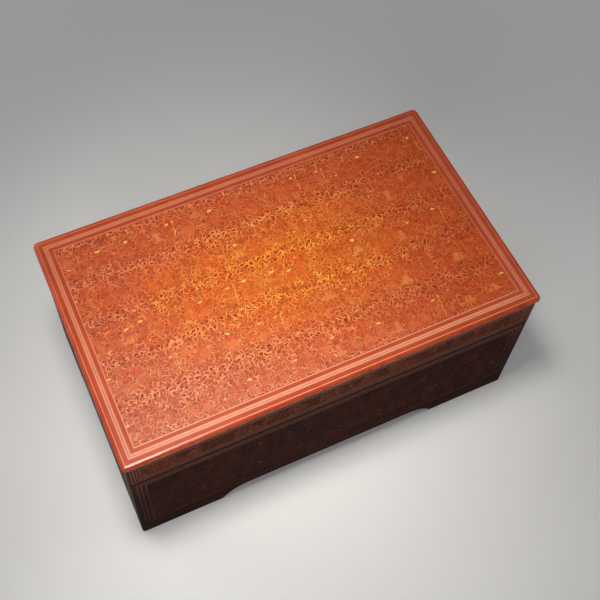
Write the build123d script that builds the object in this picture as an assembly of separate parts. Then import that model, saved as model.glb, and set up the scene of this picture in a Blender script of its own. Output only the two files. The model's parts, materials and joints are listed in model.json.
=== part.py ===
"""A rectangular lacquered wooden box with a flush lift-off lid, on a plinth of bracket feet.

The box is built of thin boards. Four walls with finger-jointed corners stand on a mitred
plinth, whose four rails are cut out below so that a bracket foot is left at each corner.
The floor panel lies in a rebate round the foot of the walls and is trapped by the plinth.
Four mitred lining boards stand on the floor inside the walls and rise above the rim, and
the lid drops over that raised lip. The lid is a frame of four finger-jointed rails under a
top board, whose rounded edge overhangs the rails and whose tongue drops between them.
Bamboo pins hold the plinth to the walls and the top board to the rails.

Origin: centre of the footprint, at the floor. +X along the length, +Y to the back, +Z up.
All sizes are in millimetres.
"""

import math
import os

from build123d import *

# Outside sizes
body_length = 396.0         # outside the walls, along X
body_width = 236.0          # outside the walls, along Y
plinth_height = 20.0        # floor to the foot of the walls
wall_height = 111.0         # foot of the walls to the rim
rail_height = 39.5          # rim to the underside of the top board's edge
lip_thickness = 4.5         # the top board's overhanging edge
lip_overhang = 2.0          # how far that edge stands out beyond the rails

# Boards
wall_thickness = 10.0
lining_thickness = 5.0
lining_rise = 9.0           # how far the lining stands above the rim, inside the lid
lid_clearance = 0.6         # between the raised lining and the lid's rails, on each side
floor_thickness = 6.0
floor_rebate = 4.0          # how far the floor panel reaches under the walls
floor_clearance = 0.2       # round the floor panel in its rebate
tongue_depth = 2.5          # the top board's tongue, down between the rails
tongue_clearance = 0.2      # between that tongue and the rails
plinth_thickness = 14.0

# Corner joints
wall_finger = 16.5          # about the height of one finger of the wall corners
rail_finger = 13.0          # about the height of one finger of the lid corners

# Bracket feet
foot_length = 83.0          # along the front and back, where a foot meets the floor
end_foot_length = 56.0      # along the two ends
cutout_height = 17.0        # from the floor to the top of the cut-out between two feet
cutout_radius = 31.0        # the rounded upper corners of the cut-outs

# Rounded edges
corner_radius = 2.5         # the upright corners of box and lid
lip_top_radius = 2.6        # the top board's upper edge
lip_under_radius = 1.2      # the top board's lower edge
rim_radius = 0.9            # both edges beside the line where lid meets box
seam_radius = 0.6           # both edges beside the seam where the walls stand on the plinth
foot_radius = 1.2           # the feet's lower outer edge
lining_radius = 1.8         # the top of the raised lining

# Bamboo pins
pin_diameter = 3.0
pin_fit = 0.05              # radial room for glue round a pin
pin_recess = 0.3            # a plinth pin's end, up from the foot's underside
plinth_pin_inset = 3.5      # from the outer face to a plinth pin's axis
plinth_pin_grip = 12.0      # how far a plinth pin reaches up into the walls
plinth_pin_margin = 22.0    # from the corner to the first plinth pin along the length
plinth_pin_step = 36.0      # from the first to the second pin of a foot
end_pin_margin = 38.0       # from the corner to the plinth pin of an end foot
lid_pin_grip_rail = 14.0    # how far a lid pin reaches down into a rail
lid_pin_grip_top = 3.0      # how far it reaches up into the top board
lid_pin_margin = 48.0       # from the corner to the nearest lid pin
lid_pin_pitch = 100.0       # about the distance between lid pins along a rail

# Levels and inner sizes that follow
rim_level = plinth_height + wall_height
rail_top = rim_level + rail_height
lid_top = rail_top + lip_thickness
floor_top = plinth_height + floor_thickness
rail_thickness = wall_thickness - lid_clearance
inner_length = body_length - 2 * wall_thickness
inner_width = body_width - 2 * wall_thickness
pin_hole_radius = pin_diameter / 2 + pin_fit


def block(length, width, low, high, radius=0.0):
    """An upright block centred on the Z axis, from low to high, with rounded upright corners."""
    outline = RectangleRounded(length, width, radius) if radius else Rectangle(length, width)
    return Pos(0, 0, low) * extrude(outline, high - low)


def span(x0, x1, y0, y1, z0, z1):
    """A box between two corners."""
    return Pos((x0 + x1) / 2, (y0 + y1) / 2, (z0 + z1) / 2) * Box(x1 - x0, y1 - y0, z1 - z0)


def rounded(solid, edges, radius):
    """The solid with those edges rounded."""
    return fillet(edges, radius) if radius else solid


def cylinders(places, low, high, radius):
    """Upright cylinders from low to high at each (x, y)."""
    return [
        Pos(x, y, (low + high) / 2) * Cylinder(radius, high - low)
        for x, y in places
    ]


def mirrored_places(x, y):
    """The same place in all four quarters."""
    return [(sx * x, sy * y) for sx in (-1, 1) for sy in (-1, 1)]


def spread(length, margin, pitch):
    """Places about a pitch apart along a length, the outer ones a margin in from its ends."""
    run = length - 2 * margin
    gaps = max(1, round(run / pitch))
    return [-run / 2 + n * run / gaps for n in range(gaps + 1)]


def finger_levels(low, high, pitch):
    """Levels that divide a corner's height into an odd number of equal fingers."""
    count = 2 * max(1, round(((high - low) / pitch - 1) / 2)) + 1
    step = (high - low) / count
    return [(low + n * step, low + (n + 1) * step) for n in range(count)]


def finger_jointed_boards(thickness, levels, envelope):
    """Front, back, left and right boards of a frame, with interlocking fingers at its corners.

    The front and back boards have the fingers of the first, third and further odd levels,
    the end boards those between. The envelope gives the outer face and its rounded edges.
    """
    x, y = body_length / 2, body_width / 2
    low, high = levels[0][0], levels[-1][1]
    front = span(-x + thickness, x - thickness, -y, -y + thickness, low, high)
    left = span(-x, -x + thickness, -y + thickness, y - thickness, low, high)
    for n, (z0, z1) in enumerate(levels):
        if n % 2 == 0:
            front += span(-x, -x + thickness, -y, -y + thickness, z0, z1)
            front += span(x - thickness, x, -y, -y + thickness, z0, z1)
        else:
            left += span(-x, -x + thickness, -y, -y + thickness, z0, z1)
            left += span(-x, -x + thickness, y - thickness, y, z0, z1)
    front = front & envelope
    left = left & envelope
    return {
        "front": front,
        "back": mirror(front, Plane.XZ),
        "left": left,
        "right": mirror(left, Plane.YZ),
    }


def mitred_prism(length, width, thickness, low, high):
    """The front member of a mitred frame of those outside sizes."""
    x, y = length / 2, width / 2
    outline = Polygon(
        (-x, -y),
        (x, -y),
        (x - thickness, -y + thickness),
        (-x + thickness, -y + thickness),
        align=None,
    )
    return Pos(0, 0, low) * extrude(outline, high - low)


def make_walls():
    """The four walls, with the floor panel's rebate round their foot."""
    envelope = block(body_length, body_width, plinth_height, rim_level, corner_radius)
    envelope = rounded(envelope, envelope.edges().group_by(Axis.Z)[-1], rim_radius)
    envelope = rounded(envelope, envelope.edges().group_by(Axis.Z)[0], seam_radius)
    levels = finger_levels(plinth_height, rim_level, wall_finger)
    walls = finger_jointed_boards(wall_thickness, levels, envelope)
    rebate = block(
        inner_length + 2 * floor_rebate,
        inner_width + 2 * floor_rebate,
        plinth_height,
        floor_top,
    )
    return {f"{side}_wall": wall - rebate for side, wall in walls.items()}


def make_floor():
    """The floor panel, lying in the walls' rebate on top of the plinth."""
    reach = 2 * (floor_rebate - floor_clearance)
    return block(inner_length + reach, inner_width + reach, plinth_height, floor_top)


def lining_member(length, width):
    """One mitred lining board along the front of a frame of that size, with a rounded top."""
    member = mitred_prism(length, width, lining_thickness, floor_top, rim_level + lining_rise)
    top_edges = member.edges().filter_by(Axis.X).group_by(Axis.Z)[-1]
    return rounded(member, top_edges, lining_radius)


def make_linings():
    """The four lining boards, which stand on the floor panel and rise above the rim."""
    front = lining_member(inner_length, inner_width)
    left = Rot(0, 0, -90) * lining_member(inner_width, inner_length)
    return {
        "front_lining": front,
        "back_lining": mirror(front, Plane.XZ),
        "left_lining": left,
        "right_lining": mirror(left, Plane.YZ),
    }


def cutout(length, foot, reach):
    """The space between two feet of a rail along X, reaching through the rail along Y."""
    run = math.sqrt(cutout_radius**2 - (cutout_radius - cutout_height) ** 2)
    straight = length - 2 * (foot + run)
    slot = SlotCenterToCenter(straight, 2 * cutout_radius)
    centre_level = cutout_height - cutout_radius
    return Pos(0, 0, centre_level) * extrude(Plane.XZ * slot, reach, both=True)


def make_plinth():
    """The plinth's four mitred rails, each cut out below so that two bracket feet are left."""
    envelope = block(body_length, body_width, 0, plinth_height, corner_radius)
    envelope = rounded(envelope, envelope.edges().group_by(Axis.Z)[0], foot_radius)
    envelope = rounded(envelope, envelope.edges().group_by(Axis.Z)[-1], seam_radius)
    front = mitred_prism(body_length, body_width, plinth_thickness, 0, plinth_height) & envelope
    front -= cutout(body_length, foot_length, body_width)
    end = mitred_prism(body_width, body_length, plinth_thickness, 0, plinth_height)
    end -= cutout(body_width, end_foot_length, body_length)
    left = (Rot(0, 0, -90) * end) & envelope
    return {
        "front_plinth": front,
        "back_plinth": mirror(front, Plane.XZ),
        "left_plinth": left,
        "right_plinth": mirror(left, Plane.YZ),
    }


def plinth_pin_places():
    """Where the pins go up through the feet: two in each long foot and one in each end foot."""
    x, y = body_length / 2, body_width / 2
    near = mirrored_places(x - plinth_pin_margin, y - plinth_pin_inset)
    far = mirrored_places(x - plinth_pin_margin - plinth_pin_step, y - plinth_pin_inset)
    ends = mirrored_places(x - plinth_pin_inset, y - end_pin_margin)
    return near + far + ends


def make_lid_rails():
    """The lid's four rails, with their lower outer edge rounded where it meets the rim."""
    envelope = block(body_length, body_width, rim_level, rail_top, corner_radius)
    envelope = rounded(envelope, envelope.edges().group_by(Axis.Z)[0], rim_radius)
    levels = finger_levels(rim_level, rail_top, rail_finger)
    rails = finger_jointed_boards(rail_thickness, levels, envelope)
    return {f"lid_{side}_rail": rail for side, rail in rails.items()}


def make_lid_top():
    """The lid's top board: an overhanging rounded edge and a tongue between the rails."""
    board = block(
        body_length + 2 * lip_overhang,
        body_width + 2 * lip_overhang,
        rail_top,
        lid_top,
        corner_radius + lip_overhang,
    )
    board = rounded(board, board.edges().group_by(Axis.Z)[-1], lip_top_radius)
    board = rounded(board, board.edges().group_by(Axis.Z)[0], lip_under_radius)
    inset = 2 * (rail_thickness + tongue_clearance)
    tongue = block(body_length - inset, body_width - inset, rail_top - tongue_depth, rail_top)
    return board + tongue


def lid_pin_places():
    """Where the pins join the top board to the rails, along the middle of each rail."""
    x, y = (body_length - rail_thickness) / 2, (body_width - rail_thickness) / 2
    along = spread(body_length, lid_pin_margin, lid_pin_pitch)
    across = spread(body_width, lid_pin_margin, lid_pin_pitch)
    long_sides = [(place, side * y) for side in (-1, 1) for place in along]
    ends = [(side * x, place) for side in (-1, 1) for place in across]
    return long_sides + ends


def drilled(pieces, holes):
    """The pieces with every hole cut that reaches into them."""
    return {name: piece - holes for name, piece in pieces.items()}


def make_box():
    """Everything that stays on the table."""
    places = plinth_pin_places()
    high = plinth_height + plinth_pin_grip
    holes = cylinders(places, 0, high, pin_hole_radius)
    pieces = drilled({**make_walls(), **make_plinth()}, holes)
    pieces.update(make_linings())
    pieces["floor_panel"] = make_floor()
    pieces["plinth_pins"] = Compound(cylinders(places, pin_recess, high, pin_diameter / 2))
    return pieces


def make_lid():
    """Everything that lifts off."""
    places = lid_pin_places()
    low = rail_top - lid_pin_grip_rail
    high = rail_top + lid_pin_grip_top
    holes = cylinders(places, low, high, pin_hole_radius)
    pieces = drilled({**make_lid_rails(), "lid_top_board": make_lid_top()}, holes)
    pieces["lid_pins"] = Compound(cylinders(places, low, high, pin_diameter / 2))
    return pieces


def main():
    os.makedirs("parts", exist_ok=True)
    for name, piece in {**make_box(), **make_lid()}.items():
        export_step(piece, f"parts/{name}.step")


main()
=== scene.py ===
import json
import math

import bpy
from mathutils import Matrix, Vector

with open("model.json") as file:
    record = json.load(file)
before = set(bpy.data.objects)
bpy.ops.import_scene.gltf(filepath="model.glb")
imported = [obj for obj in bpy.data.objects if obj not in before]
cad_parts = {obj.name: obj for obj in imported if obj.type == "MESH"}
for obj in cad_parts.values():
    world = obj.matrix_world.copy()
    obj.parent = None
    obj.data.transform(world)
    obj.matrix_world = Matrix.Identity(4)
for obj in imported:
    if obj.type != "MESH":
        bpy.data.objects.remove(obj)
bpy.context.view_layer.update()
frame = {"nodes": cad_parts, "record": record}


def extent(node):
    """The least and the greatest corner of a piece, in millimetres."""
    points = [vertex.co * 1000.0 for vertex in frame["nodes"][node].data.vertices]
    return [[round(pick(point[axis] for point in points), 3) for axis in range(3)] for pick in (min, max)]


# Sizes and levels of the model, in millimetres
LENGTH, WIDTH, _ = (2.0 * value for value in extent("lid_top_board")[1])    # over the lip
BODY_X = extent("right_wall")[1][0]             # outer faces of the walls
BODY_Y = extent("back_wall")[1][1]
PLINTH = extent("front_wall")[0][2]             # levels
RIM = extent("front_wall")[1][2]
RAIL_TOP = extent("lid_front_rail")[1][2]

# The drawing, in millimetres
REGISTER = 42.5             # height of one register of figures
FIGURE_PITCH = 14.0         # from one figure to the next
CURL = 4.9                  # about the size of one curl of foliage
FOLIAGE_BAND = (14.5, 17.5)  # from a register's middle to the soft edge of its bands of foliage
BUMP_DEPTH = 0.05           # of the lacquer's lines and unevenness

# Lines round the lid's top: distance from the edge, width and strength
BORDER_LINES = (
    (3.6, 0.9, 0.7),
    (7.95, 0.4, 0.5),
    (8.8, 0.7, 1.0),
    (9.85, 0.5, 0.6),
    (10.9, 0.8, 1.0),
    (11.8, 0.4, 0.5),
    (15.9, 1.0, 0.8),
)
BORDER_WIDTH = 16.7
GROUP = (7.75, 12.15)       # the pale stripe under the middle lines

# Lines round the field of each upright face: distances from its top, its foot and its corners
LID_RINGS = ((3.2, 2.6, 3.6), (5.4, 4.8, 6.2), (7.6, 7.0, 8.8), (9.8, 9.4, 11.4))
LID_RING_WIDTH = 0.9
WALL_RINGS = ((4.6, 2.6, 5.9), (7.2, 5.0, 9.4), (10.6, 7.4, 13.7))
WALL_RING_WIDTH = 1.0

# The photograph's camera, in metres and millimetres of film, and its frame's shift
CAMERA_PLACE = (-0.2190, -0.4236, 0.9716)
CAMERA_FORWARD = (0.2200, 0.45472, -0.86303)
CAMERA_DOWN = (-0.34915, -0.78939, -0.50493)
CAMERA_LENS, CAMERA_FILM = 61.4, 36.0
CAMERA_SHIFT = (0.05, -0.033)

# Lamps: place and aim in metres, size in metres, power in watts
WARM = (1.0, 0.97, 0.93)
KEY_BEAM = 50.0             # degrees
LAMPS = (
    ("back", (-1.5, 1.9, 1.6), (0.0, 0.1, 0.1), 1.8, 16.0),
    ("right", (2.3, -0.5, 1.5), (0.1, 0.0, 0.1), 1.4, 12.0),
    ("left", (-1.4, -1.5, 1.7), (0.0, -0.05, 0.1), 1.2, 12.0),
)
FLOOR_REACH = 4.0           # metres from the middle


class Value:
    """A number, vector or colour that varies over a surface: an output of a node."""

    def __init__(self, graph, socket):
        self.graph = graph
        self.socket = socket

    def __add__(self, other):
        return self.graph.math("ADD", self, other)

    def __sub__(self, other):
        return self.graph.math("SUBTRACT", self, other)

    def __mul__(self, other):
        return self.graph.math("MULTIPLY", self, other)

    def __truediv__(self, other):
        return self.graph.math("DIVIDE", self, other)

    def __rsub__(self, other):
        return self.graph.math("SUBTRACT", other, self)

    __radd__ = __add__
    __rmul__ = __mul__


class Graph:
    """The nodes of one material, in millimetres of the object's own coordinates."""

    def __init__(self, name):
        self.material = bpy.data.materials.new(name)
        self.material.use_nodes = True
        self.nodes = self.material.node_tree.nodes
        self.links = self.material.node_tree.links
        self.nodes.clear()
        coordinates = self.nodes.new("ShaderNodeTexCoord")
        self.point = self.vectors("SCALE", Value(self, coordinates.outputs["Object"]), Scale=1000.0)
        self.normal = Value(self, coordinates.outputs["Normal"])
        self.x, self.y, self.z = self.split(self.point)

    def connect(self, value, socket):
        if isinstance(value, Value):
            self.links.new(value.socket, socket)
        else:
            socket.default_value = value

    def node(self, kind, inputs, output=0, **settings):
        node = self.nodes.new(kind)
        for name, value in settings.items():
            setattr(node, name, value)
        for name, value in inputs.items():
            self.connect(value, node.inputs[name])
        return Value(self, node.outputs[output])

    def math(self, operation, *values, clamp=False):
        inputs = dict(enumerate(values))
        return self.node("ShaderNodeMath", inputs, operation=operation, use_clamp=clamp)

    def vectors(self, operation, *values, **named):
        inputs = {**dict(enumerate(values)), **named}
        output = 1 if operation in ("DISTANCE", "LENGTH", "DOT_PRODUCT") else 0
        return self.node("ShaderNodeVectorMath", inputs, output, operation=operation)

    def split(self, vector):
        node = self.nodes.new("ShaderNodeSeparateXYZ")
        self.connect(vector, node.inputs[0])
        return [Value(self, output) for output in node.outputs]

    def join(self, x, y, z=0.0):
        return self.node("ShaderNodeCombineXYZ", {0: x, 1: y, 2: z})

    def least(self, first, *others):
        for other in others:
            first = self.math("MINIMUM", first, other)
        return first

    def most(self, first, *others):
        for other in others:
            first = self.math("MAXIMUM", first, other)
        return first

    def absolute(self, value):
        return self.math("ABSOLUTE", value)

    def ramp(self, value, low, high, bottom=0.0, top=1.0):
        """bottom below low, top above high, and smooth between."""
        inputs = {"Value": value, "From Min": low, "From Max": high, "To Min": bottom, "To Max": top}
        return self.node("ShaderNodeMapRange", inputs, interpolation_type="SMOOTHSTEP")

    def line(self, value, place, width, soft=0.15):
        """1 where value is within half a width of place, and softly 0 outside."""
        away = self.absolute(value - place)
        return self.ramp(away, width / 2 - soft, width / 2 + soft, 1.0, 0.0)

    def inside(self, distance, soft=0.15):
        """1 where a signed distance is below zero, and softly 0 outside."""
        return self.ramp(distance, -soft, soft, 1.0, 0.0)

    def between(self, value, low, high):
        """1 where value lies between low and high, and 0 elsewhere."""
        return self.math("GREATER_THAN", value, low) * self.math("LESS_THAN", value, high)

    def blend(self, share, first, second, how="MIX"):
        """Two colours mixed by share."""
        node = self.nodes.new("ShaderNodeMix")
        node.data_type = "RGBA"
        node.blend_type = how
        self.connect(share, node.inputs[0])
        self.connect(first, node.inputs[6])
        self.connect(second, node.inputs[7])
        return Value(self, node.outputs[2])

    def noise(self, scale, detail=2.0, where=None, colour=False):
        """Smooth noise from 0 to 1, scale times a millimetre, or three such numbers."""
        inputs = {"Vector": where or self.point, "Scale": scale, "Detail": detail}
        return self.node("ShaderNodeTexNoise", inputs, output=1 if colour else 0)

    def random(self, where):
        """Three random numbers from 0 to 1 for each place."""
        return self.split(self.node("ShaderNodeTexWhiteNoise", {"Vector": where}, output=1))

    def cells(self, where, scale, randomness=1.0, feature="F1"):
        """Scattered cells' outputs, by name."""
        node = self.nodes.new("ShaderNodeTexVoronoi")
        node.voronoi_dimensions = "2D"
        node.feature = feature
        self.connect(where, node.inputs["Vector"])
        node.inputs["Scale"].default_value = scale
        node.inputs["Randomness"].default_value = randomness
        return {output.name: Value(self, output) for output in node.outputs}

    def finish(self, colour, roughness, height, depth, coat=0.0, coat_roughness=0.1, shine=0.5):
        """The shader, its surface raised by height times depth in millimetres."""
        shader = self.nodes.new("ShaderNodeBsdfPrincipled")
        self.connect(colour, shader.inputs["Base Color"])
        self.connect(roughness, shader.inputs["Roughness"])
        shader.inputs["Specular IOR Level"].default_value = shine
        shader.inputs["Coat Weight"].default_value = coat
        shader.inputs["Coat Roughness"].default_value = coat_roughness
        bump = self.nodes.new("ShaderNodeBump")
        bump.inputs["Strength"].default_value = 1.0
        bump.inputs["Distance"].default_value = depth / 1000.0
        self.connect(height, bump.inputs["Height"])
        self.links.new(bump.outputs["Normal"], shader.inputs["Normal"])
        output = self.nodes.new("ShaderNodeOutputMaterial")
        self.links.new(shader.outputs["BSDF"], output.inputs["Surface"])
        return self.material


def srgb(red, green, blue):
    """A colour from its 0 to 255 display values."""
    def linear(value):
        value /= 255.0
        return value / 12.92 if value <= 0.04045 else ((value + 0.055) / 1.055) ** 2.4
    return (linear(red), linear(green), linear(blue), 1.0)


# Drawing: signed distances in millimetres, below zero inside a form


def disc(g, p, x, y, radius):
    return g.vectors("DISTANCE", p, (x, y, 0)) - radius


def oval(g, p, x, y, wide, high):
    scaled = g.vectors("MULTIPLY", p, (1 / wide, 1 / high, 0))
    return (g.vectors("DISTANCE", scaled, (x / wide, y / high, 0)) - 1.0) * min(wide, high)


def bar(g, p, start, end, radius):
    dx, dy = end[0] - start[0], end[1] - start[1]
    square = dx * dx + dy * dy
    offset = g.vectors("SUBTRACT", p, (start[0], start[1], 0))
    along = g.vectors("DOT_PRODUCT", offset, (dx / square, dy / square, 0))
    along = g.math("ADD", along, 0.0, clamp=True)
    nearest = g.vectors("SCALE", (dx, dy, 0), Scale=along)
    return g.vectors("DISTANCE", offset, nearest) - radius


def taper(g, x, y, low, high, wide, narrow):
    """A form from low to high whose half width goes from wide to narrow."""
    slope = (narrow - wide) / (high - low)
    side = (g.absolute(x) - (y * slope + (wide - slope * low))) / math.hypot(1.0, slope)
    return g.most(side, low - y, y - high)


def courtier(g, p, x, y):
    """A kneeling figure in a spreading robe and a pointed crown."""
    robe = g.least(oval(g, p, 0.4, 1.2, 6.6, 3.0), taper(g, x, y, 0.6, 7.8, 5.0, 2.4))
    robe = g.most(robe, -1.0 * y)
    body = taper(g, x, y, 7.2, 12.8, 2.1, 3.0)
    arms = g.least(
        bar(g, p, (2.6, 12.0), (5.2, 8.4), 0.55),
        bar(g, p, (5.2, 8.4), (4.6, 12.6), 0.4),
        bar(g, p, (-2.6, 12.0), (-4.2, 6.8), 0.55),
    )
    crown = g.least(disc(g, p, 0.3, 14.2, 1.2), taper(g, x, y, 16.6, 20.4, 0.7, 0.05))
    return robe, g.least(body, arms, crown), oval(g, p, 0.3, 15.9, 2.3, 1.15)


def guard(g, p, x, y):
    """A standing figure with a long spear."""
    skirt = g.least(taper(g, x, y, 0.4, 11.0, 3.4, 1.9), oval(g, p, 1.8, 0.9, 3.0, 0.9))
    body = taper(g, x, y, 10.4, 15.8, 1.7, 2.6)
    arms = g.least(
        bar(g, p, (2.2, 15.2), (5.0, 11.8), 0.45),
        bar(g, p, (-2.2, 15.2), (-3.4, 9.8), 0.45),
    )
    head = disc(g, p, 0.2, 17.3, 1.15)
    spear = g.least(bar(g, p, (4.4, 0.6), (6.6, 19.4), 0.25), oval(g, p, 6.7, 20.2, 0.6, 1.5))
    return skirt, g.least(body, arms, head), g.least(oval(g, p, 0.1, 18.9, 2.1, 1.0), spear)


def tree(g, p, x, y):
    """A round-headed tree, its foliage left as it is."""
    leaves = g.least(
        disc(g, p, 0.0, 14.0, 4.8),
        disc(g, p, -3.8, 10.8, 3.0),
        disc(g, p, 4.0, 11.2, 3.1),
    )
    trunk = g.least(bar(g, p, (-0.3, 0.4), (0.4, 9.4), 0.6), bar(g, p, (0.1, 6.0), (2.8, 8.8), 0.3))
    return trunk, g.absolute(leaves) - 0.05, oval(g, p, 1.6, 14.8, 0.9, 0.6)


def pavilion(g, p, x, y):
    """A hall of slender posts under a roof of three tiers."""
    roof = g.least(
        taper(g, x, y, 11.6, 13.8, 7.8, 5.0),
        taper(g, x, y, 14.4, 16.0, 5.4, 3.2),
        taper(g, x, y, 16.6, 18.6, 3.2, 0.8),
        taper(g, x, y, 0.2, 1.8, 7.2, 6.6),
    )
    side = g.absolute(g.absolute(x) - 3.8)
    posts = g.most(g.absolute(side - 1.8) - 0.22, 1.8 - y, y - 11.8)
    spire = taper(g, x, y, 18.6, 21.6, 0.45, 0.05)
    return roof, g.least(posts, spire), oval(g, p, 0.0, 6.0, 1.3, 0.8)


KINDS = ((courtier, 0.0, 0.5), (guard, 0.5, 0.72), (tree, 0.72, 0.86), (pavilion, 0.86, 1.01))


def rows_of_figures(g, u, v, pitch=FIGURE_PITCH):
    """Rows of figures, one to a register: signed distances of cloth, skin and gilt forms."""
    row = g.math("FLOOR", v / REGISTER)
    up = v - row * REGISTER
    shifted = u + g.random(g.join(row, 3.5))[0] * pitch
    column = g.math("FLOOR", shifted / pitch)
    across = shifted - (column + 0.5) * pitch
    kind, place, shade = g.random(g.join(column, row))
    turn, level, size = g.random(g.join(column + 51.0, row + 17.0))
    scale = 1.2 - 0.22 * size
    bent = g.noise(0.22, 1.0, g.join(u, v), colour=True)
    bend_x, bend_y, _ = g.split(bent)
    x = (across + (place - 0.5) * 3.0) * g.math("SIGN", turn - 0.5) * scale + (bend_x - 0.5) * 4.0
    y = (up - 9.6 - level * 5.0) * scale + (bend_y - 0.5) * 3.0
    p = g.join(x, y)
    forms = []
    for draw, low, high in KINDS:
        away = 30.0 - 30.0 * g.between(kind, low, high)
        forms.append([form + away for form in draw(g, p, x, y)])
    cloth, skin, gilt = (g.least(*same) for same in zip(*forms))
    return up, x, y, cloth, skin, gilt, shade, place


def foliage(g, u, v, size):
    """Curled tendrils about size across.

    Returns up to 1 on their lines, 1 in their eyes, and each one's random number.
    """
    where = g.join(u, v)
    wander = g.noise(0.8 / size, 1.0, where, colour=True)
    wander = g.vectors("SCALE", g.vectors("SUBTRACT", wander, (0.5, 0.5, 0.5)), Scale=1.4 * size)
    where = g.vectors("ADD", where, wander)
    cell = g.cells(where, 1 / size, 0.75)
    offset = g.vectors("SCALE", g.vectors("SUBTRACT", where, cell["Position"]), Scale=1 / size)
    across, along, _ = g.split(offset)
    turn, side, own = g.split(cell["Color"])
    angle = g.math("ARCTAN2", across * g.math("SIGN", side - 0.5), along) / (2 * math.pi)
    around = g.math("FRACT", angle + turn)
    radius = cell["Distance"] + 0.03 * g.math("SINE", around * (4 * math.pi)) - 0.06 * around
    curl = g.ramp(radius, 0.17, 0.25) * g.ramp(radius, 0.39, 0.48, 1.0, 0.15)
    curl = curl * g.ramp(g.absolute(around - 0.5), 0.32, 0.42, 1.0, 0.15)
    edge = g.cells(where, 1 / size, 0.75, "DISTANCE_TO_EDGE")["Distance"]
    stem = g.ramp(edge, 0.02, 0.08, 0.75, 0.0)
    eye = g.ramp(radius, 0.16, 0.24, 1.0, 0.0)
    return g.most(curl, stem) * (0.8 + 0.2 * own), eye, own


def drawing(g, u, v, size=CURL):
    """The incised picture: rows of figures between bands of foliage.

    Returns how far each point is in a band of foliage, on a line, in a curl's eye, inside a
    figure, on pale cloth and on gilt, and the tones of figure and curl, each from 0 to 1.
    """
    up, x, y, cloth, skin, gilt, shade, place = rows_of_figures(g, u, v)
    form = g.least(cloth, skin, gilt)
    here = g.join(u, v)
    wave = (g.noise(0.02, 2.0, here) - 0.5) * 9.0
    middle = g.absolute(up + wave - REGISTER / 2)
    band = g.ramp(middle, *FOLIAGE_BAND)
    patch = g.noise(0.12, 2.0, g.join(u, v * 1.3))
    open_ground = (1.0 - band) * g.ramp(patch, 0.54, 0.62)
    strength = g.ramp(g.noise(0.06, 2.0, here), 0.35, 0.6, 0.8, 1.0)
    strength = g.most(band, strength) * (1.0 - 0.4 * open_ground)
    curls, eye, own = foliage(g, u, v, size)
    leaves = curls * g.ramp(form, 0.0, 0.7, 0.45, 1.0) * strength
    upright = g.math("FRACT", (x + 0.12 * y) / 1.05)
    level = g.math("FRACT", y / 1.25)
    behind = g.math("FRACT", (u + 0.1 * v + g.noise(0.05, 1.0, here) * 3.0) / 1.1)
    hatch = g.line(upright, 0.5, 0.42, 0.15) * g.inside(cloth + 0.4, 0.2)
    hatch = hatch * (0.45 + 0.45 * place)
    weave = g.line(level, 0.5, 0.4, 0.15) * g.inside(skin + 0.4, 0.2) * 0.4
    strokes = g.line(behind, 0.5, 0.4, 0.15) * (1.0 - band) * g.ramp(form, 0.3, 0.6)
    strokes = strokes * (0.3 + 0.25 * open_ground)
    outline = g.most(g.line(cloth, 0.0, 0.42) * 0.75, g.line(g.least(skin, gilt), 0.0, 0.36) * 0.65)
    line = g.most(leaves, hatch, weave, strokes, outline)
    streak = g.noise(0.5, 2.0, g.join(u, v * 0.3))
    pale = g.inside(cloth, 1.0) * g.ramp(shade, 0.86, 0.88) * g.ramp(streak, 0.3, 0.6)
    bright = g.inside(gilt + 0.05) * g.ramp(turned(g, shade), 0.7, 0.74)
    tone = turned(g, place) + (g.noise(0.25, 2.0, here) - 0.5) * 1.2
    cover = g.inside(form + 0.2, 0.5)
    eye = eye * strength * (1.0 - 0.7 * cover)
    return band, line, eye, cover, pale, bright, tone, own


def turned(g, value):
    """Another random number from 0 to 1, made from one."""
    return g.math("FRACT", value * 7.31)


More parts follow.
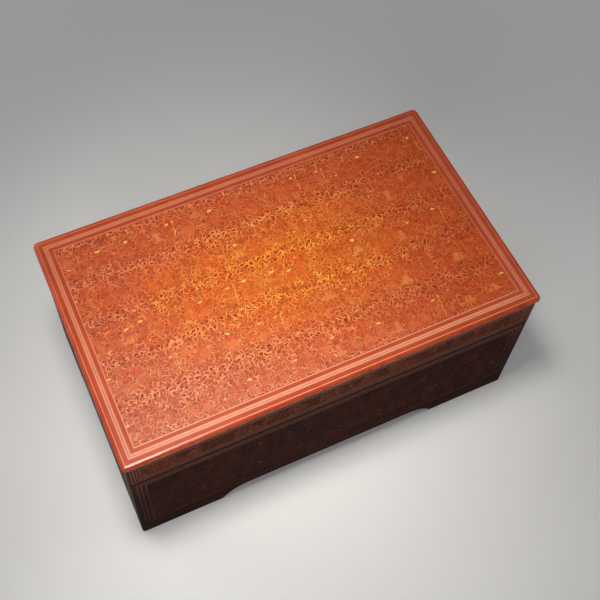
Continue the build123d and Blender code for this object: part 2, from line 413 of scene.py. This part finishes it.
def lid_lacquer():
    """The lid's top: orange on red, with line borders and registers of figures."""
    g = Graph("lid_lacquer")
    edge_x = LENGTH / 2 - g.absolute(g.x)
    edge_y = WIDTH / 2 - g.absolute(g.y)
    edge = g.least(edge_x, edge_y)
    band, line, eye, cover, pale, gilt, tone, own = drawing(g, g.x + 7.0, g.y + 109.5)

    # From the middle of the top out to its margins the colours go from yellow to red: partly the
    # lacquer's own tone, partly a painted pool of light in the middle and a painted pinkish sheen at the
    # margins
    out = g.vectors("LENGTH", g.vectors("MULTIPLY", g.point, (1 / 175.0, 1 / 100.0, 0.0)))
    out = g.ramp(out + g.noise(0.02) * 0.3, 0.35, 1.2)
    drift = g.ramp(g.noise(0.03, 3.0), 0.3, 0.7)
    deep = g.blend(out, srgb(158, 43, 3), srgb(145, 39, 12))
    mild = g.blend(out, srgb(202, 66, 5), srgb(184, 57, 21))
    mottle = g.ramp(g.noise(0.2, 1.0, g.vectors("MULTIPLY", g.point, (1.3, 0.7, 1.0))), 0.4, 0.6)
    ground = g.blend(g.most(band * 0.6, mottle) * (0.5 + 0.5 * own), mild, deep)
    ground = g.blend(drift * 0.4, ground, srgb(140, 34, 5))
    ground = g.blend(eye * 0.65, ground, g.blend(out, srgb(142, 36, 2), srgb(134, 34, 8)))
    ink = g.blend(out, srgb(255, 174, 66), srgb(230, 142, 92))
    ink = g.blend(g.ramp(g.noise(0.05, 2.0), 0.35, 0.65) * 0.4, ink, srgb(222, 108, 40))
    # Painted shade: the lines darken towards the right end, where less light falls
    ink = g.blend(g.ramp(g.x, 40.0, 180.0) * 0.7, ink, srgb(214, 110, 46))
    ink = g.blend((1.0 - band) * 0.3, ink, srgb(214, 100, 40))
    # Painted glare: the lines are paler at the front left, where the photograph has a soft glare
    ink = g.blend(g.ramp(0.4 * g.x + g.y, -140.0, -30.0, 0.3, 0.0), ink, srgb(250, 192, 148))
    wash = g.blend(g.ramp(tone, 0.0, 1.0), srgb(172, 36, 4), srgb(222, 90, 20))
    colour = g.blend(cover * 0.42, ground, wash)
    colour = g.blend(pale * 0.6, colour, srgb(226, 150, 80))
    colour = g.blend(line * g.ramp(g.noise(0.11, 3.0), 0.25, 0.6, 0.6, 1.0), colour, ink)
    colour = g.blend(gilt * 0.8, colour, srgb(255, 200, 100))

    # Border of fine lines round the field
    border = g.ramp(edge, BORDER_WIDTH - 0.1, BORDER_WIDTH + 0.1, 1.0, 0.0)
    plain = g.blend(drift, srgb(190, 76, 38), srgb(174, 62, 28))
    lines = g.most(*(g.line(edge, place, width) * strength for place, width, strength in BORDER_LINES))
    # Painted light: the border's lines are fuller and paler towards the front left, and fade towards the
    # back right and along the ends
    painted_border_light = g.ramp(0.35 * g.x + g.y, -130.0, 130.0, 1.0, 0.5)
    painted_border_light = painted_border_light * (1.0 - 0.25 * g.math("GREATER_THAN", edge_y, edge_x))
    inner, outer = GROUP
    group = g.ramp(edge, inner - 0.15, inner + 0.15) * g.ramp(edge, outer - 0.15, outer + 0.15, 1.0, 0.0)
    plain = g.blend(group * 0.45 * painted_border_light, plain, srgb(210, 116, 80))
    lines = lines * g.ramp(g.noise(0.15, 3.0), 0.25, 0.55, 0.75, 1.0)
    bordered = g.blend(lines * painted_border_light, plain, srgb(232, 170, 136))
    colour = g.blend(border, colour, bordered)

    # The rounded edge, rubbed darker in places, and the plain underside
    rub = g.ramp(edge, 0.2, 1.6, 1.0, 0.0) * g.ramp(g.noise(0.12, 4.0), 0.56, 0.66)
    colour = g.blend(rub * 0.6, colour, srgb(96, 34, 18))
    under = g.ramp(g.z, RAIL_TOP + 0.1, RAIL_TOP + 1.1, 1.0, 0.0) * g.ramp(edge, 2.2, 2.8)
    colour = g.blend(under, colour, g.blend(drift, srgb(92, 24, 16), srgb(74, 19, 13)))
    incised = g.most(line * (1.0 - border), lines * border, gilt * (1.0 - border) * 0.5) * (1.0 - under)
    # A slight crown along the front edge catches the key lamp
    crown = g.math("MAXIMUM", 3.6 - edge_y, 0.0) * 2.3 * g.math("LESS_THAN", g.y, 0.0)
    height = g.noise(0.035, 1.0) * 2.0 - incised * 0.5 + g.noise(0.6, 2.0) * 0.15 - crown
    polished = g.ramp(edge, 3.0, 4.4, 1.0, 0.0)
    roughness = 0.27 + 0.1 * incised + 0.06 * g.noise(0.05, 3.0) - 0.14 * polished
    return g.finish(colour, roughness, height, BUMP_DEPTH, coat=0.12, coat_roughness=0.2, shine=0.42)


def face_coordinate(g):
    """The coordinate along whichever upright face a point is on, and the distance to its corner."""
    across, along, _ = g.split(g.normal)
    end = g.math("GREATER_THAN", g.absolute(across), g.absolute(along))
    u = g.x * (1.0 - end) + g.y * end
    corner = (BODY_X - g.absolute(g.x)) * (1.0 - end) + (BODY_Y - g.absolute(g.y)) * end
    return u, corner


def nested_lines(g, distances, rings, width):
    """Rectangles of lines, each ring at its own distances from the sides.

    Returns the lines, and 1 inside the innermost ring.
    """
    rings = [g.least(*(away - place for away, place in zip(distances, ring))) for ring in rings]
    return g.most(*(g.line(ring, 0.0, width) for ring in rings)), g.ramp(rings[-1], 0.4, 0.7)


def side_lacquer():
    """The upright faces: dull buff lines on dark maroon, plain inside; the maroon is darker than the
    top's red, partly as painted shade.
    """
    g = Graph("side_lacquer")
    u, corner = face_coordinate(g)
    lid = g.math("GREATER_THAN", g.z, RIM)
    band, line, eye, cover, pale, gilt, tone, own = drawing(g, u + 11.0, g.z - 34.0)

    # Nested lines frame the field of each face
    to_lid_sides = (RAIL_TOP - g.z, g.z - RIM, corner)
    to_wall_sides = (RIM - g.z, g.z - PLINTH, corner)
    lid_lines, lid_field = nested_lines(g, to_lid_sides, LID_RINGS, LID_RING_WIDTH)
    wall_lines, wall_field = nested_lines(g, to_wall_sides, WALL_RINGS, WALL_RING_WIDTH)
    lines = lid_lines * lid + wall_lines * (1.0 - lid)
    border = 1.0 - (lid_field * lid + wall_field * (1.0 - lid))

    drift = g.ramp(g.noise(0.03, 3.0), 0.3, 0.7)
    blot = g.ramp(g.noise(0.09, 3.0, g.vectors("MULTIPLY", g.point, (1.0, 1.0, 0.5))), 0.42, 0.58)
    # Painted light: the lid's sides are coloured lighter and redder than the walls below, as if more
    # light fell on the upper faces
    deep = g.blend(lid, srgb(7, 2, 1), srgb(46, 14, 8))
    mild = g.blend(lid, srgb(22, 6, 4), srgb(92, 33, 18))
    ground = g.blend(g.most(band * 0.6, blot * 0.6) * (0.4 + 0.8 * own), mild, deep)
    ground = g.blend(g.most(drift * 0.4, eye * 0.7), ground, srgb(12, 3, 2))
    ink = g.blend(lid, srgb(94, 39, 23), srgb(160, 86, 56))
    colour = g.blend(cover, ground, g.blend(tone, deep, g.blend(0.5, mild, ink)))
    colour = g.blend(pale * 0.4, colour, ink)
    colour = g.blend(line * g.ramp(blot, 0.0, 1.0, 0.95, 0.5), colour, ink)
    colour = g.blend(gilt * 0.6, colour, srgb(150, 96, 52))
    # Painted light: the framing lines grow lighter upwards, as if lit more from above
    high = g.ramp(g.z, 70.0, 180.0)
    between = g.blend(high, srgb(28, 9, 7), srgb(92, 50, 38))
    drawn = g.blend(high, srgb(88, 45, 35), srgb(158, 108, 88))
    framed = g.blend(lines, between, drawn)
    colour = g.blend(border, colour, framed)
    feet = g.ramp(g.z, PLINTH - 0.7, PLINTH - 0.5, 1.0, 0.0)
    foot = g.blend(drift, srgb(46, 19, 13), srgb(34, 13, 9))
    colour = g.blend(feet, colour, g.blend(g.line(g.z, 12.0, 0.9) * 0.35, foot, ink))

    # Painted shade, with some grime, in the line under the lid and the seam above the plinth, and rubbed
    # corners
    gap_shade_and_grime = g.most(g.line(g.z, RIM, 1.7, 0.5), g.line(g.z, PLINTH, 1.2, 0.4))
    colour = g.blend(gap_shade_and_grime * 0.85, colour, srgb(20, 9, 7))
    worn = g.ramp(corner, 0.3, 1.4, 1.0, 0.0) * g.ramp(g.noise(0.1, 4.0), 0.5, 0.64)
    colour = g.blend(worn * 0.5, colour, srgb(104, 52, 34))
    outer = g.most(g.absolute(g.x) - BODY_X, g.absolute(g.y) - BODY_Y)
    shown = g.ramp(outer, -1.7, -1.3)
    inner = g.blend(drift, srgb(74, 22, 16), srgb(62, 18, 13))
    colour = g.blend(shown, inner, colour)
    incised = g.most(line * (1.0 - border), lines * border) * shown
    height = g.noise(0.035, 1.0) * 2.0 - incised * 0.5 + g.noise(0.6, 2.0) * 0.15
    roughness = 0.38 + 0.14 * incised + 0.08 * g.noise(0.05, 3.0)
    return g.finish(colour, roughness, height, BUMP_DEPTH, shine=0.01)


def inner_lacquer():
    """Plain satin lacquer, brushed on by hand."""
    g = Graph("inner_lacquer")
    drift = g.noise(0.025, 3.0)
    strokes = g.noise(0.06, 3.0, g.vectors("MULTIPLY", g.point, (0.2, 1.0, 1.0)))
    colour = g.blend(g.ramp(drift, 0.3, 0.7), srgb(92, 24, 16), srgb(74, 19, 13))
    colour = g.blend(g.ramp(strokes, 0.5, 0.75) * 0.3, colour, srgb(112, 36, 24))
    height = strokes + g.noise(0.5, 2.0) * 0.3
    return g.finish(colour, 0.3 + 0.12 * drift, height, BUMP_DEPTH, coat=0.15, coat_roughness=0.2)


def bamboo():
    """Split bamboo, end grain of fine dark fibres."""
    g = Graph("bamboo")
    fibre = g.cells(g.join(g.x, g.y), 3.0)["Distance"]
    streak = g.noise(0.8, 3.0, g.vectors("MULTIPLY", g.point, (2.0, 2.0, 0.1)))
    colour = g.blend(g.ramp(fibre, 0.1, 0.3, 1.0, 0.0), srgb(190, 152, 98), srgb(120, 84, 46))
    colour = g.blend(g.ramp(streak, 0.45, 0.7) * 0.5, colour, srgb(150, 112, 66))
    return g.finish(colour, 0.65, fibre, 0.03)


def floor_material():
    """Matt off-white, faintly uneven."""
    g = Graph("floor")
    colour = g.blend(g.noise(0.004, 2.0), (0.84, 0.83, 0.81, 1.0), (0.87, 0.86, 0.84, 1.0))
    return g.finish(colour, 0.7, g.noise(0.1, 2.0), 0.05)


def add_camera():
    """The camera, where the photograph was taken from."""
    forward = Vector(CAMERA_FORWARD).normalized()
    down = Vector(CAMERA_DOWN)
    down = (down - forward * down.dot(forward)).normalized()
    data = bpy.data.cameras.new("camera")
    data.sensor_width = CAMERA_FILM
    data.lens = CAMERA_LENS
    data.shift_x, data.shift_y = CAMERA_SHIFT
    data.clip_start = 0.01
    data.dof.use_dof = False
    camera = bpy.data.objects.new("camera", data)
    axes = Matrix((down.cross(forward), -down, -forward)).transposed()
    camera.matrix_world = Matrix.Translation(CAMERA_PLACE) @ axes.to_4x4()
    bpy.context.scene.collection.objects.link(camera)
    bpy.context.scene.camera = camera


def add_lamp(name, place, aim, size, power, beam=180.0, colour=(1.0, 1.0, 1.0)):
    """A soft round light at place, turned to aim, its beam so many degrees wide."""
    data = bpy.data.lights.new(name, "AREA")
    data.shape = "DISK"
    data.size = size
    data.spread = math.radians(beam)
    data.energy = power
    data.color = colour
    lamp = bpy.data.objects.new(name, data)
    lamp.location = place
    lamp.rotation_euler = (Vector(aim) - Vector(place)).to_track_quat("-Z", "Y").to_euler()
    bpy.context.scene.collection.objects.link(lamp)


def add_floor():
    """A plain pale floor that the box stands on."""
    mesh = bpy.data.meshes.new("floor")
    corners = [(x * FLOOR_REACH, y * FLOOR_REACH, 0) for x, y in ((-1, -1), (1, -1), (1, 1), (-1, 1))]
    mesh.from_pydata(corners, [], [(0, 1, 2, 3)])
    mesh.materials.append(floor_material())
    floor = bpy.data.objects.new("floor", mesh)
    bpy.context.scene.collection.objects.link(floor)


def add_world():
    """Dim, even, slightly cool light from all round."""
    world = bpy.data.worlds.new("world")
    world.use_nodes = True
    background = world.node_tree.nodes["Background"]
    background.inputs["Color"].default_value = (0.9, 0.94, 1.0, 1.0)
    background.inputs["Strength"].default_value = 0.1
    bpy.context.scene.world = world


view = bpy.context.scene.view_settings
view.view_transform = "Standard"
view.look = "None"

add_camera()
add_world()
add_floor()
add_lamp("key", (-0.18, -0.07, 1.05), (-0.06, -0.07, 0.17), 0.24, 0.64, KEY_BEAM, WARM)
for lamp in LAMPS:
    add_lamp(*lamp)

materials = {
    "lid_lacquer": lid_lacquer(),
    "side_lacquer": side_lacquer(),
    "inner_lacquer": inner_lacquer(),
    "bamboo": bamboo(),
}
for part in frame["record"]["subparts"]:
    mesh = frame["nodes"][part["node"]].data
    mesh.materials.clear()
    mesh.materials.append(materials[part["material_slot"]])
